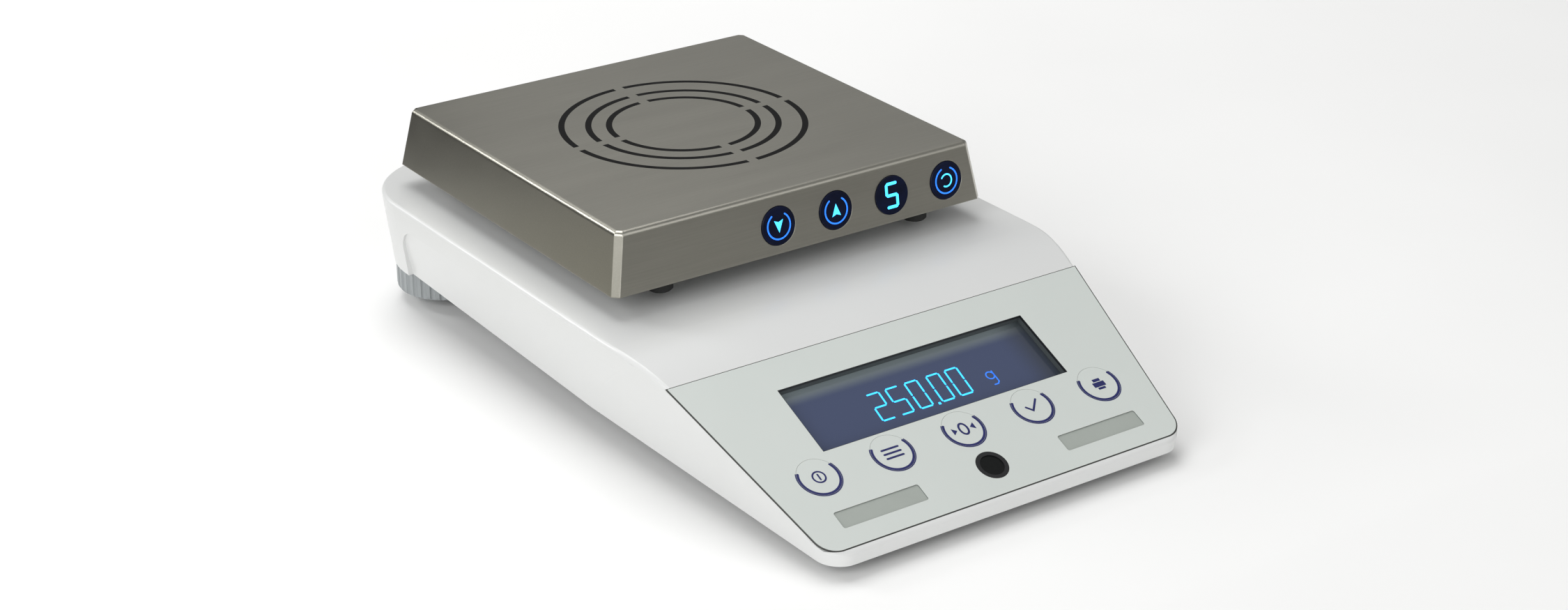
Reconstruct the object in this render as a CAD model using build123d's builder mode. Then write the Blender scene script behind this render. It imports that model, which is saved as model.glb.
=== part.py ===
from build123d import *
from math import atan, cos, degrees, sin, tan
import os

# Precision balance with a magnetic stirring pan.
# Millimetres. X to the right seen from the front, Y to the back, Z up, the table at Z = 0.

# Housing outline
half_length = 177.0
top_height = 57.5
wall = 3.0
crest_y = -0.3955 * half_length
crest_radius = 80.0
front_height = 10.42
slope = atan((top_height - front_height) / (half_length + crest_y))
knee_radius = 250.0
ridge_fillet = 1.6
# Outline drawn a little above the top: half widths at the front, at the knee and along the side
outline_height = 62.0
top_knee = 112.4
top_front = top_knee - 13.1
top_knee_y = crest_y + 2.0
top_rear_y = half_length + 1.2
top_corner_front = 13.0
top_corner_rear = 45.0
# Outline at the bottom edge, which rises to the back
bottom_front = top_knee - 22.2
bottom_knee = top_knee - 9.8
bottom_knee_y = 0.113 * half_length
bottom_side = top_knee - 5.4
bottom_rear_y = half_length - 6.5
bottom_corner_front = 11.0
bottom_corner_rear = 32.0
bottom_front_height = 5.3
bottom_rise = 8.85 / half_length
# Shallow field pressed into each side
field_rear_y = half_length - 42.5
field_top = 46.5
field_corner = 13.0
field_fade_y = -0.226 * half_length
field_fade_height = 35.0
field_foot_height = 24.0
field_top_depth = 0.5
field_foot_depth = 2.2

# Base tray
tray_floor = 2.5
tray_rim = 9.0
tray_rim_wall = 2.0
tray_gap = 0.4
boss_radius = 6.0
boss_height = 6.0
rib_x = 45.0
rib_width = 2.0
rib_height = 4.0
rib_root = 1.0
column_radius = 4.0
rear_column_x = top_knee - 24.4
rear_column_y = 0.35 * half_length
front_column_x = bottom_front - 14.2
front_column_y = crest_y - 34.0
column_bore = 1.6
thread_play = 0.05

# Control panel, distances measured down the slope from its upper edge at the end of the crest
crest_tangent = crest_radius * tan(slope / 2)
panel_start_y = crest_y - crest_tangent * cos(slope)
front_lip = 2.9
overlay_half_top = top_knee - 6.8
overlay_taper = 0.1535
overlay_length = (half_length + panel_start_y - front_lip) / cos(slope)
overlay_corner = 9.0
overlay_thickness = 1.2
overlay_gap = 0.7
key_down = overlay_length - 34.9
key_pitch = 36.0
key_count = 5
key_radius = 9.3
key_cap = 0.7
key_travel = 0.4
key_gap = 0.1
key_stem_radius = 3.0
key_stem_length = 5.2
keypad_depth = 7.0
board_above_keys = 7.5
board_below_keys = 8.0
keypad_board_top = key_down - board_above_keys
keypad_board_bottom = key_down + board_below_keys
keypad_board_margin = 10.0
keypad_post_radius = 2.5
board_thickness = 1.6
screen_half_width = 62.7
screen_top = 16.8
screen_above_keys = 10.8
screen_bottom = key_down - screen_above_keys
screen_depth = 3.5
screen_glass = 1.5
bezel_wall = 1.2
bezel_flange = 2.5
flange_thickness = 1.2
module_depth = 6.0
module_margin = 2.3
level_down = overlay_length - 14.3
level_radius = 7.0
level_depth = 5.0
vial_radius = 5.2
vial_depth = 3.0
strip_inner = 35.8
strip_outer = 77.1
strip_top = overlay_length - 17.2
strip_bottom = overlay_length - 8.8
strip_corner = 1.0
strip_depth = 0.4
strip_thickness = 0.5

# Stirring pan
pan_y = 0.3463 * half_length
pan_top = 94.0
pan_height = 26.8
pan_half_x = 91.5
pan_half_y = 89.3
pan_flare_x = 4.8
pan_flare_y = 4.0
pan_sheet = 1.0
pan_bend = 2.2
pan_bevel = 2.6
plate_thickness = 1.5
plate_recess = 1.0
plate_gap = 0.3
stud_x = pan_half_x - 13.5
stud_y = pan_half_y - 13.3
stud_radius = 4.0
foot_radius = 5.6
foot_x = pan_half_x - 24.5
foot_y = pan_half_y - 7.3
foot_bottom = 60.6
button_pitch = 30.0
button_first_x = pan_half_x - 14.6 - 3 * button_pitch
button_radius = 8.5
button_gap = 0.2
button_down = 14.8
button_travel = 0.8
button_proud = 0.5
button_flange = 0.7
button_stem_radius = 2.5
button_back = 0.9
stir_board_depth = 7.0
stir_board_width = 3 * button_pitch + 18.0
stir_board_height = 15.0
motor_radius = 21.0
motor_height = 12.5
shaft_radius = 1.5
shaft_bottom = 72.0
yoke_radius = 29.0
yoke_bottom = 85.0
yoke_hub_radius = 6.0
yoke_hub_height = 2.0
yoke_thickness = 2.4
battery_width = 34.0
battery_length = 66.0
battery_height = 13.0
battery_gap = 16.8
magnet_radius = 8.0
magnet_height = 3.5
magnet_x = 19.0

# Pan support
spindle_radius = 5.0
spindle_fit = 0.05
spindle_top = 59.0
hub_radius = 10.0
hub_bottom = 55.0
hub_top = 64.0
arm_bottom = 61.2
arm_width = 14.0
arm_hole = 4.0
bore_top = 61.5
pilot_radius = 7.7
pilot_top = 69.4
pilot_gap = 0.35
spring_radius = 8.5
spring_discs = 7
spring_cone = 1.2
buffer_x = 52.0
buffer_radius = 6.0
overload_travel = 1.2
collar_inner = 13.0
collar_outer = 16.0
collar_height = 1.4

# Weigh cell
cell_bottom = 21.0
cell_plate = 3.0
cell_half_width = 30.0
cell_front_y = -0.4294 * half_length
cell_rear_y = 0.4407 * half_length
step_top = 28.0
step_rear_y = -0.2825 * half_length
tall_rear_y = -0.3672 * half_length
guide_thickness = 2.5
guide_half_width = 26.0
upper_guide_bottom = 42.0
neck_front_y = -0.2599 * half_length
neck_rear_y = 0.2655 * half_length
neck_radius = 0.85
receiver_front_y = 0.2881 * half_length
receiver_rear_y = 0.4068 * half_length
lever_half_width = 5.0
lever_bottom = 33.0
lever_top = 39.0
lever_taper = 1.5
ear_height = 3.4
ear_drop = 4.0
lever_front_y = -0.1582 * half_length
lever_rear_y = receiver_front_y - 0.6
strip_sheet = 0.3
strip_gap = 0.4
post_inner_x = 9.0
post_outer_x = 14.0
window_half_x = 18.5
post_depth = 8.0
post_height = 16.0
window_front_y = neck_front_y - 2.5
window_rear_y = neck_rear_y + 2.5
sensor_front_y = -0.2373 * half_length
sensor_rear_y = -0.1977 * half_length
sensor_width = 12.0
sensor_slot = 3.6
vane_front_y = sensor_rear_y - 3.0
vane_width = 5.0
vane_thickness = 0.6
pivot_y = 0.2147 * half_length
pivot_z = 36.0
coil_y = -0.0678 * half_length
pot_radius = 17.0
pot_height = 7.0
pot_floor = 2.0
gap_inner = 8.0
gap_outer = 12.6
coil_radius = 10.9
coil_wall = 2.3
coil_bottom = 27.5
coil_flange_bottom = 32.2

# Rear levelling feet
wheel_x = top_knee - 33.4
wheel_y = half_length - 29.7
wheel_radius = 23.0
wheel_bottom = 5.5
wheel_height = 12.5
wheel_ridges = 32
ridge_depth = 0.9
groove_radius = 1.5
stem_radius = 5.0
stem_fit = 0.05
stem_top = 46.0
bush_radius = 7.5
bush_bottom = 24.0
bush_top = 40.0
bush_flange = 2.0
bush_rim = 3.0
pad_radius = 10.0
spigot_radius = 3.0
spigot_length = 4.0
front_foot_x = bottom_front - 16.2
front_foot_y = 25.0 - half_length
front_foot_radius = 8.0

# Screws and the main board
case_head = 3.2
case_head_height = 2.2
case_length = 16.0
case_seat = 1.0
cell_head = 3.5
cell_head_height = 2.6
cell_shank = 2.0
cell_screw_reach = 3.0
guide_head = 2.8
guide_head_height = 2.4
guide_shank = 1.5
guide_screw_reach = 3.0
guide_screw_x = [-22.0, 22.0]
front_screw_y = (cell_front_y + tall_rear_y) / 2
lower_screw_y = (tall_rear_y + step_rear_y) / 2
pan_head = 3.0
pan_head_height = 1.8
pan_shank = 1.5
pan_screw_reach = 8.0
switch_height = 1.1
switch_width = 6.0
digit_block_width = 11.0
digit_block_height = 13.0
window_depth = 2.2
main_board_bottom = 14.0
main_board_y = crest_y - 45.0
main_board_width = 124.0
main_board_depth = 46.0
board_post_radius = 3.0
chip_size = 14.0
chip_height = 1.6
plug_length = 24.0
plug_height = 2.4

# Rear connectors
connector_rear_y = half_length - 2.8
flange_front_y = half_length - 13.0
flange_rim = 2.5
jack_x = -62.0
jack_radius = 6.0
jack_length = 16.0
jack_mouth = 3.2
jack_pin = 1.0
jack_depth = 9.0
socket_x = -20.0
socket_width = 32.0
socket_height = 13.0
socket_corner = 1.5
socket_length = 14.0
socket_mouth = 16.4
socket_mouth_height = 8.0
socket_depth = 5.0
connector_z = 44.0

# Below-balance weighing hole and its cover
hook_radius = 9.0
hook_thread = 3.0
hook_depth = 8.0
cover_radius = 13.0
cover_thickness = 1.6
cover_pivot_x = 20.0
cover_ear = 6.0
cover_pin = 2.0
cover_gap = 0.3

os.makedirs("parts", exist_ok=True)


def save(piece, name):
    piece.label = name
    export_step(piece, "parts/" + name + ".step")


# Places of repeated fixings, seen from above
column_spots = [
    (-rear_column_x, rear_column_y), (rear_column_x, rear_column_y),
    (-front_column_x, front_column_y), (front_column_x, front_column_y),
]
cell_screw_spots = [(x, y) for x in (-22.5, 22.5) for y in (step_rear_y + 8, neck_rear_y - 3)]
board_post_spots = [
    (x, main_board_y + y)
    for x in (6 - main_board_width / 2, main_board_width / 2 - 6)
    for y in (4 - main_board_depth / 2, main_board_depth / 2 - 4)
]
wheel_spots = [(wheel_x, wheel_y), (-wheel_x, wheel_y)]
upright = (Align.CENTER, Align.CENTER, Align.MIN)
hanging = (Align.CENTER, Align.CENTER, Align.MAX)

# Reference planes
panel_plane = Plane(
    origin=(0, panel_start_y, top_height - crest_tangent * sin(slope)),
    x_dir=(1, 0, 0),
    z_dir=(0, -sin(slope), cos(slope)),
)
bottom_plane = Plane(
    origin=(0, 0, bottom_front_height + bottom_rise * half_length),
    x_dir=(1, 0, 0),
    z_dir=(0, -bottom_rise, 1),
)
hook_plane = Plane(
    origin=(0, pan_y, bottom_front_height + bottom_rise * (pan_y + half_length)),
    x_dir=(1, 0, 0),
    z_dir=(0, -bottom_rise, 1),
)


def panel_point(down, out):
    # Place in the side view of a point on the panel's middle line
    point = panel_plane.from_local_coords((0, -down, out))
    return (point.Y, point.Z)


def bottom_height(y):
    return bottom_front_height + bottom_rise * (y + half_length)


def floor_height(y):
    return bottom_height(y) + tray_floor


def plan_outline(front, knee, knee_y, side, front_y, rear_y, corner_front, corner_rear):
    # Half of a plan outline from the middle of the front to the middle of the back, then its mirror image
    with BuildSketch() as outline:
        with BuildLine():
            FilletPolyline(
                (0, front_y), (front, front_y), (knee, knee_y), (side, rear_y), (0, rear_y),
                radius=[corner_front, knee_radius, corner_rear],
            )
            mirror(about=Plane.YZ)
        make_face()
    return outline.sketch


def bottom_outline(inset):
    return plan_outline(
        bottom_front - inset, bottom_knee - inset, bottom_knee_y, bottom_side - inset,
        inset - half_length, bottom_rear_y - inset,
        bottom_corner_front - inset, bottom_corner_rear - inset,
    )


def housing_form(inset):
    # The outer form of the housing, or its cavity when it is drawn smaller by the wall
    with BuildPart() as form:
        with BuildSketch(Plane.XY.offset(outline_height)):
            add(plan_outline(
                top_front - inset, top_knee - inset, top_knee_y, top_knee - inset,
                inset - half_length, top_rear_y - inset,
                top_corner_front - inset, top_corner_rear - inset,
            ))
        with BuildSketch(bottom_plane):
            add(bottom_outline(inset))
        loft(ruled=True)
        with BuildSketch(Plane.YZ):
            with BuildLine():
                roof = Line((1.1 * half_length, top_height - inset), (crest_y + crest_tangent, top_height - inset))
                bend = TangentArc(
                    roof @ 1,
                    panel_point(0, -inset),
                    tangent=roof % 1,
                )
                ramp = Line(
                    bend @ 1,
                    panel_point(1.4 * overlay_length, -inset),
                )
                Polyline(ramp @ 1, ((ramp @ 1).X, -top_height), (1.1 * half_length, -top_height), roof @ 0)
            make_face()
        extrude(amount=2 * top_knee, both=True, mode=Mode.INTERSECT)
    return form.part


def flank_x(y, z):
    # Half width of the outer form at one place on its side
    top_width = top_knee
    share = (y + half_length) / (bottom_knee_y + half_length)
    low_width = bottom_front + (bottom_knee - bottom_front) * share
    if y > bottom_knee_y:
        share = (y - bottom_knee_y) / (bottom_rear_y - bottom_knee_y)
        low_width = bottom_knee + (bottom_side - bottom_knee) * share
    rise = (z - bottom_height(y)) / (outline_height - bottom_height(y))
    return low_width + (top_width - low_width) * rise


# Upper housing: a thin shell with a panel recess, the pan spindle's collar and screw columns
field_plane_points = [
    Vector(flank_x(field_rear_y, field_top) - field_top_depth, field_rear_y, field_top),
    Vector(flank_x(field_rear_y, field_foot_height) - field_foot_depth, field_rear_y, field_foot_height),
    Vector(flank_x(field_fade_y, field_fade_height), field_fade_y, field_fade_height),
]
field_normal = (field_plane_points[1] - field_plane_points[0]).cross(
    field_plane_points[2] - field_plane_points[0]
)
if field_normal.X < 0:
    field_normal = field_normal * -1
field_plane = Plane(origin=field_plane_points[0], z_dir=field_normal)

with BuildPart() as side_field:
    with BuildSketch(Plane.YZ.offset(top_knee - 30)):
        with BuildLine():
            FilletPolyline(
                (field_rear_y, -5), (field_rear_y - 3, field_top), (-120, field_top), (-120, -5), close=True,
                radius=field_corner,
            )
        make_face()
    extrude(amount=60)
    split(bisect_by=field_plane, keep=Keep.TOP)


def ridge_edges(form):
    # Edges where the top, the crest and the panel slope meet the flanks
    top_faces = form.faces().filter_by(lambda face: face.normal_at().Z > 0.8)
    crossing = ShapeList(
        edge
        for edge in top_faces.edges()
        if abs(edge.tangent_at(0.5).X) > 0.999 and abs(edge.center().Y) < half_length - 8
    )
    return ShapeList(edge for edge in top_faces.edges() if edge not in crossing)


with BuildPart() as upper_housing:
    add(housing_form(0))
    fillet(ridge_edges(upper_housing.part), radius=ridge_fillet)
    add(side_field.part, mode=Mode.SUBTRACT)
    mirror_field = side_field.part.mirror(Plane.YZ)
    add(mirror_field, mode=Mode.SUBTRACT)
    add(housing_form(wall), mode=Mode.SUBTRACT)
    # Raised collar round the pan spindle and the hole inside it
    with BuildSketch(Plane.XY.offset(top_height - wall)):
        with Locations((0, pan_y)):
            Circle(collar_outer)
    extrude(amount=wall + collar_height)
    with BuildSketch(Plane.XY.offset(top_height - wall)):
        with Locations((0, pan_y)):
            Circle(collar_inner)
    extrude(amount=wall + collar_height, mode=Mode.SUBTRACT)
    # Recess that takes the printed panel plate
    with BuildSketch(panel_plane):
        with BuildLine():
            half_low = overlay_half_top - overlay_taper * overlay_length
            FilletPolyline(
                (-overlay_half_top - overlay_gap, 0),
                (-half_low - overlay_gap, -overlay_length - overlay_gap),
                (half_low + overlay_gap, -overlay_length - overlay_gap),
                (overlay_half_top + overlay_gap, 0),
                radius=overlay_corner + overlay_gap,
            )
            Line((overlay_half_top + overlay_gap, 0), (-overlay_half_top - overlay_gap, 0))
        make_face()
    extrude(amount=-overlay_thickness, mode=Mode.SUBTRACT)
    # Openings in the panel floor: display, keys and level
    with BuildSketch(panel_plane):
        with Locations((0, -(screen_top + screen_bottom) / 2)):
            Rectangle(
                2 * (screen_half_width + bezel_wall) + 0.4,
                screen_bottom - screen_top + 2 * bezel_wall + 0.4,
            )
        with Locations((0, -key_down)):
            with GridLocations(key_pitch, 0, key_count, 1):
                Circle(key_stem_radius + 0.5)
        with Locations((0, -level_down)):
            Circle(level_radius + 0.2)
    extrude(amount=-2 * wall, mode=Mode.SUBTRACT)
    # Openings for the connectors in the back wall
    with BuildSketch(Plane.XZ.offset(-flange_front_y)):
        with Locations((jack_x, connector_z)):
            Circle(jack_radius + 0.2)
        with Locations((socket_x, connector_z)):
            RectangleRounded(socket_width + 0.4, socket_height + 0.4, socket_corner)
    extrude(amount=-half_length / 8, mode=Mode.SUBTRACT)

# Screw columns reach up to the underside of the shell, short posts carry the keypad board
with BuildPart() as columns:
    for x, y in column_spots:
        with Locations((x, y, floor_height(y) + boss_height)):
            Cylinder(column_radius, top_height, align=upright)
            Cylinder(column_bore, top_height, align=upright, mode=Mode.SUBTRACT)
    add(housing_form(wall / 2), mode=Mode.INTERSECT)
with BuildPart() as housing_body:
    add(upper_housing.part)
    add(columns.part)
    with BuildSketch(panel_plane.offset(-wall)):
        with Locations((0, -key_down)):
            with GridLocations(key_pitch, 0, key_count - 1, 1):
                Circle(keypad_post_radius)
    extrude(amount=wall - keypad_depth)
save(housing_body.part, "upper_housing")

# Base tray: sloping floor with a rim inside the housing, bosses and stiffening ribs
with BuildPart() as base_tray:
    with BuildSketch(bottom_plane):
        add(bottom_outline(wall + tray_gap))
    extrude(amount=tray_floor + tray_rim)
    with BuildSketch(bottom_plane.offset(tray_floor)):
        add(bottom_outline(wall + tray_gap + tray_rim_wall))
    extrude(amount=tray_rim, mode=Mode.SUBTRACT)
    add(housing_form(wall + tray_gap), mode=Mode.INTERSECT)
    bosses = [(x, y, floor_height(y) + boss_height, boss_radius) for x, y in column_spots]
    bosses += [(x, y, cell_bottom, boss_radius) for x, y in cell_screw_spots]
    bosses += [(x, y, main_board_bottom, board_post_radius) for x, y in board_post_spots]
    bosses += [(x, y, bush_top - bush_flange, bush_radius + bush_rim) for x, y in wheel_spots]
    for x, y, top, radius in bosses:
        low = floor_height(y) - tray_floor / 2
        with Locations((x, y, low)):
            Cylinder(radius, top - low, align=upright)
    for side in (-1, 1):
        with Locations((side * rib_x, 0, floor_height(0) - rib_root)):
            Box(
                rib_width, half_length, rib_root + rib_height, rotation=(degrees(atan(bottom_rise)), 0, 0),
                align=upright,
            )
    for y in (-0.48 * half_length, 0.5 * half_length, 0.64 * half_length):
        with Locations((0, y, floor_height(y) - rib_root)):
            Box(2 * rib_x, rib_width, rib_root + rib_height, align=upright)
    # Case screw holes with sunk heads, bores for the feet and the weighing hook
    for x, y in column_spots:
        with Locations((x, y, floor_height(y) + case_seat)):
            Cylinder(column_bore + 0.2, 4 * boss_height, mode=Mode.SUBTRACT)
            Cylinder(case_head + 0.3, 2 * tray_floor, align=hanging, mode=Mode.SUBTRACT)
    for x, y in cell_screw_spots:
        with Locations((x, y, cell_bottom)):
            Cylinder(cell_shank + thread_play, 2 * cell_screw_reach + 1, mode=Mode.SUBTRACT)
    for x, y in wheel_spots:
        with Locations((x, y, bush_bottom)):
            Cylinder(bush_radius, bush_top, align=upright, mode=Mode.SUBTRACT)
            Cylinder(stem_radius + 0.6, bush_top, mode=Mode.SUBTRACT)
    with BuildSketch(hook_plane):
        Circle(hook_radius)
        with Locations((cover_pivot_x, 0)):
            Circle(cover_pin + thread_play)
    extrude(amount=2 * tray_floor, both=True, mode=Mode.SUBTRACT)
save(base_tray.part, "base_tray")


def cap_screw(head, head_height, shank, length):
    # Socket head screw standing with its seat at the origin
    with BuildPart() as screw:
        Cylinder(head, head_height, align=upright)
        with BuildSketch(Plane.XY.offset(head_height)):
            RegularPolygon(0.55 * head, 6)
        extrude(amount=-0.6 * head_height, mode=Mode.SUBTRACT)
        Cylinder(shank, length, align=hanging)
    return screw.part


case_screw = cap_screw(case_head, case_head_height, column_bore - thread_play, case_length)
with BuildPart() as case_screws:
    for x, y in column_spots:
        add(Location((x, y, floor_height(y) + case_seat), (180, 0, 0)) * case_screw)
save(case_screws.part, "case_screws")

# Feet
with BuildPart() as front_feet:
    with BuildSketch():
        with Locations((front_foot_x, front_foot_y), (-front_foot_x, front_foot_y)):
            Circle(front_foot_radius)
    extrude(amount=3 * bottom_front_height)
    split(bisect_by=bottom_plane, keep=Keep.BOTTOM)
    chamfer(front_feet.faces().sort_by(Axis.Z)[0:2].edges(), length=0.8)
save(front_feet.part, "front_feet")

with BuildPart() as foot_bushes:
    for x, y in wheel_spots:
        with Locations((x, y, bush_bottom)):
            Cylinder(bush_radius, bush_top - bush_bottom, align=upright)
        with Locations((x, y, bush_top)):
            Cylinder(bush_radius + bush_rim - 1, bush_flange, align=hanging)
            Cylinder(stem_radius + stem_fit, 2 * bush_top, mode=Mode.SUBTRACT)
save(foot_bushes.part, "foot_bushes")

for side, x, y in (("right", wheel_x, wheel_y), ("left", -wheel_x, wheel_y)):
    with BuildPart() as foot_pad:
        with Locations((x, y, 0)):
            Cylinder(pad_radius, wheel_bottom, align=upright)
            Cylinder(spigot_radius, wheel_bottom + spigot_length, align=upright)
        chamfer(foot_pad.faces().sort_by(Axis.Z)[0].edges(), length=1.0)
    save(foot_pad.part, "foot_pad_" + side)
    with BuildPart() as foot_wheel:
        with Locations((x, y, wheel_bottom)):
            Cylinder(wheel_radius, wheel_height, align=upright)
        fillet(foot_wheel.faces().sort_by(Axis.Z)[0].edges(), radius=2.2)
        chamfer(foot_wheel.faces().sort_by(Axis.Z)[-1].edges(), length=0.8)
        with Locations((x, y, wheel_bottom)):
            with PolarLocations(wheel_radius + groove_radius - ridge_depth, wheel_ridges):
                Cylinder(groove_radius, wheel_height, align=upright, mode=Mode.SUBTRACT)
            Cylinder(stem_radius, stem_top - wheel_bottom, align=upright)
            Cylinder(spigot_radius + stem_fit, spigot_length + 0.5, align=upright, mode=Mode.SUBTRACT)
    save(foot_wheel.part, "foot_wheel_" + side)

# Cover of the weighing hook's hole, swinging on a shouldered screw
with BuildPart() as hook_cover:
    with BuildSketch(hook_plane.offset(-cover_gap)):
        Circle(cover_radius)
        with Locations((cover_pivot_x, 0)):
            Circle(cover_ear)
        make_hull()
        with Locations((cover_pivot_x, 0)):
            Circle(cover_pin + stem_fit, mode=Mode.SUBTRACT)
    extrude(amount=-cover_thickness)
    fillet(hook_cover.faces().sort_by(Axis.Z)[0].outer_wire().edges(), radius=0.5)
save(hook_cover.part, "hook_cover")

with BuildPart() as hook_cover_screw:
    with BuildSketch(hook_plane.offset(-2 * cover_gap - cover_thickness)):
        with Locations((cover_pivot_x, 0)):
            Circle(2 * cover_pin)
    extrude(amount=-cover_thickness)
    with BuildSketch(hook_plane.offset(tray_floor)):
        with Locations((cover_pivot_x, 0)):
            Circle(cover_pin)
    extrude(amount=-tray_floor - 2 * cover_gap - cover_thickness)
save(hook_cover_screw.part, "hook_cover_screw")

# Control panel: printed plate with openings, set into the recess
with BuildPart() as keypad_overlay:
    with BuildSketch(panel_plane):
        with BuildLine():
            half_low = overlay_half_top - overlay_taper * overlay_length
            FilletPolyline(
                (-overlay_half_top, -overlay_gap / 2),
                (-half_low, -overlay_length),
                (half_low, -overlay_length),
                (overlay_half_top, -overlay_gap / 2),
                radius=overlay_corner,
            )
            Line((overlay_half_top, -overlay_gap / 2), (-overlay_half_top, -overlay_gap / 2))
        make_face()
        with Locations((0, -(screen_top + screen_bottom) / 2)):
            Rectangle(2 * screen_half_width, screen_bottom - screen_top, mode=Mode.SUBTRACT)
        with Locations((0, -key_down)):
            with GridLocations(key_pitch, 0, key_count, 1):
                Circle(key_radius + key_gap, mode=Mode.SUBTRACT)
        with Locations((0, -level_down)):
            Circle(level_radius + 0.1, mode=Mode.SUBTRACT)
    extrude(amount=-overlay_thickness)
    with BuildSketch(panel_plane):
        for side in (-1, 1):
            with Locations((side * (strip_inner + strip_outer) / 2, -(strip_top + strip_bottom) / 2)):
                RectangleRounded(strip_outer - strip_inner, strip_bottom - strip_top, strip_corner)
    extrude(amount=-strip_depth - strip_thickness, mode=Mode.SUBTRACT)
save(keypad_overlay.part, "keypad_overlay")

with BuildPart() as label_strips:
    with BuildSketch(panel_plane.offset(-strip_depth)):
        for side in (-1, 1):
            with Locations((side * (strip_inner + strip_outer) / 2, -(strip_top + strip_bottom) / 2)):
                RectangleRounded(strip_outer - strip_inner, strip_bottom - strip_top, strip_corner)
    extrude(amount=-strip_thickness)
save(label_strips.part, "label_strips")

screen_middle = -(screen_top + screen_bottom) / 2
screen_height = screen_bottom - screen_top
with BuildPart() as display_bezel:
    with BuildSketch(panel_plane.offset(-overlay_thickness)):
        with Locations((0, screen_middle)):
            Rectangle(2 * (screen_half_width + bezel_wall), screen_height + 2 * bezel_wall)
    extrude(amount=overlay_thickness - screen_depth - screen_glass)
    with BuildSketch(panel_plane.offset(-wall)):
        with Locations((0, screen_middle)):
            Rectangle(
                2 * (screen_half_width + bezel_wall + bezel_flange),
                screen_height + 2 * (bezel_wall + bezel_flange),
            )
    extrude(amount=-flange_thickness)
    with BuildSketch(panel_plane):
        with Locations((0, screen_middle)):
            Rectangle(2 * screen_half_width, screen_height)
    extrude(amount=-4 * wall, mode=Mode.SUBTRACT)
save(display_bezel.part, "display_bezel")

with BuildPart() as display_window:
    with BuildSketch(panel_plane.offset(-screen_depth)):
        with Locations((0, screen_middle)):
            Rectangle(2 * screen_half_width, screen_height)
    extrude(amount=-screen_glass)
save(display_window.part, "display_window")

with BuildPart() as display_module:
    with BuildSketch(panel_plane.offset(-screen_depth - screen_glass)):
        with Locations((0, screen_middle)):
            Rectangle(2 * (screen_half_width + module_margin), screen_height + 2 * module_margin)
    extrude(amount=-module_depth)
save(display_module.part, "display_module")

with BuildPart() as keypad_board:
    with BuildSketch(panel_plane.offset(-keypad_depth)):
        with Locations((0, -(keypad_board_top + keypad_board_bottom) / 2)):
            Rectangle(
                (key_count - 1) * key_pitch + 2 * keypad_board_margin, keypad_board_bottom - keypad_board_top,
            )
    extrude(amount=-board_thickness)
save(keypad_board.part, "keypad_board")

with BuildPart() as key_switches:
    with BuildSketch(panel_plane.offset(-keypad_depth)):
        with Locations((0, -key_down)):
            with GridLocations(key_pitch, 0, key_count, 1):
                RectangleRounded(switch_width, switch_width, strip_corner)
    extrude(amount=keypad_depth - key_cap - key_stem_length - key_travel - 0.1)
save(key_switches.part, "key_switches")

for index in range(key_count):
    with BuildPart() as key:
        with BuildSketch(panel_plane):
            with Locations(((index - (key_count - 1) / 2) * key_pitch, -key_down)):
                Circle(key_radius)
        extrude(amount=-key_cap)
        with BuildSketch(panel_plane.offset(-key_cap)):
            with Locations(((index - (key_count - 1) / 2) * key_pitch, -key_down)):
                Circle(key_stem_radius)
        extrude(amount=-key_stem_length)
    save(key.part, "key_" + str(index + 1))

# Round spirit level
level_point = panel_plane.from_local_coords((0, -level_down, 0))
level_plane = Plane(level_point, x_dir=(1, 0, 0), z_dir=panel_plane.z_dir)
with BuildPart() as level_cup:
    with BuildSketch(level_plane):
        Circle(level_radius)
    extrude(amount=-level_depth)
    with BuildSketch(level_plane.offset(-wall)):
        Circle(level_radius + 2)
    extrude(amount=-flange_thickness)
    with BuildSketch(level_plane):
        Circle(vial_radius)
    extrude(amount=-vial_depth - 0.4, mode=Mode.SUBTRACT)
save(level_cup.part, "level_cup")

with BuildPart() as level_vial:
    with BuildSketch(level_plane.offset(-0.4)):
        Circle(vial_radius)
    extrude(amount=-vial_depth)
save(level_vial.part, "level_vial")

# Main board on its posts
with BuildPart() as main_board:
    with Locations((0, main_board_y, main_board_bottom)):
        Box(main_board_width, main_board_depth, board_thickness, align=upright)
    with Locations((-plug_length, main_board_y + 3, main_board_bottom + board_thickness)):
        Box(chip_size, chip_size, chip_height, align=upright)
    with Locations((chip_size / 2, main_board_y + 6, main_board_bottom + board_thickness)):
        Box(plug_length / 3, plug_length, plug_height, align=upright)
    with Locations((2 * plug_length, main_board_y + chip_size, main_board_bottom + board_thickness)):
        Box(plug_length, plug_length / 3, plug_height, align=upright)
save(main_board.part, "main_board")

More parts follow.
